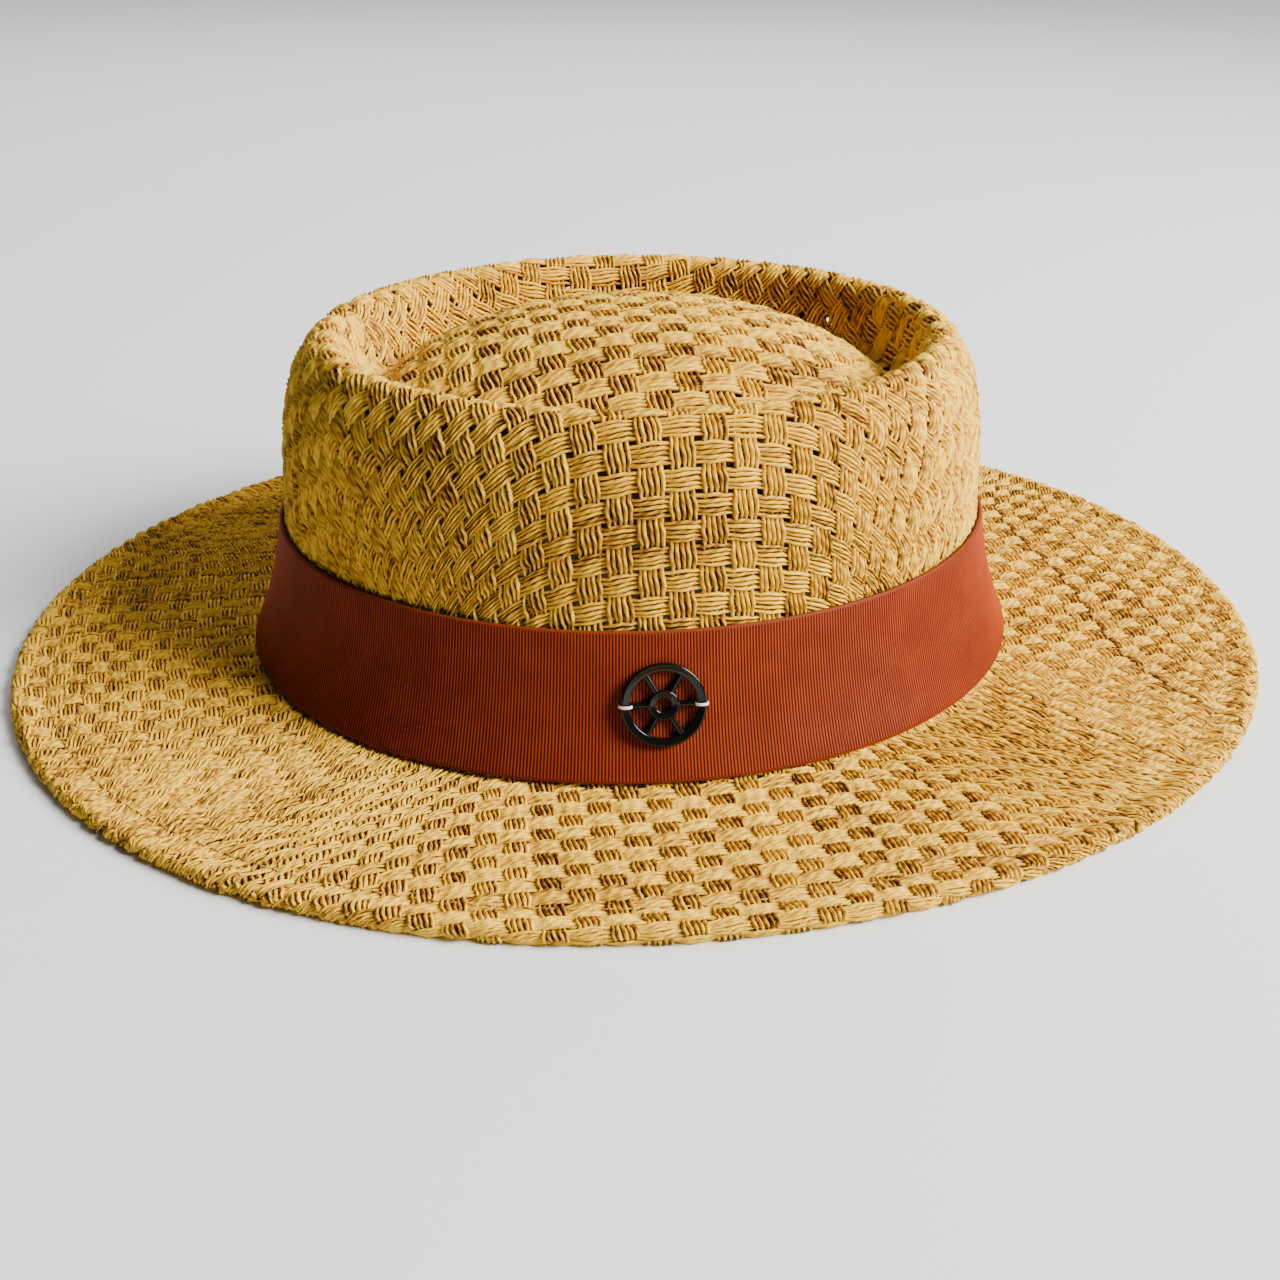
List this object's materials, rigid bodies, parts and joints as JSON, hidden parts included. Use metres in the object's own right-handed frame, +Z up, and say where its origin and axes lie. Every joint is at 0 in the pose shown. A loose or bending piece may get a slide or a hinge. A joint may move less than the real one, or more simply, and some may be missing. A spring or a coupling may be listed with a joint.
{
  "type": "flat top straw hat",
  "caption": "Flat top woven straw hat: low creased crown, flat oval brim with a turned hem, wide ribbon with a pierced round badge.",
  "frame": {"origin": "under the middle of the brim's outline, on the surface that the brim rests on", "axes": "+X along the hat's long axis, +Y away from the side that wears the badge, +Z up out of the crown"},
  "size_m": [0.3568, 0.2962, 0.093],
  "materials": {
    "straw": "plain woven twisted straw, golden tan, dry and matt",
    "ribbon": "ribbed grosgrain, rust brown, soft sheen",
    "badge_metal": "gloss black enamel"
  },
  "bodies": {
    "root": {"woven_body": "straw", "ribbon_band": "ribbon", "badge": "badge_metal"}
  },
  "joints": []
}
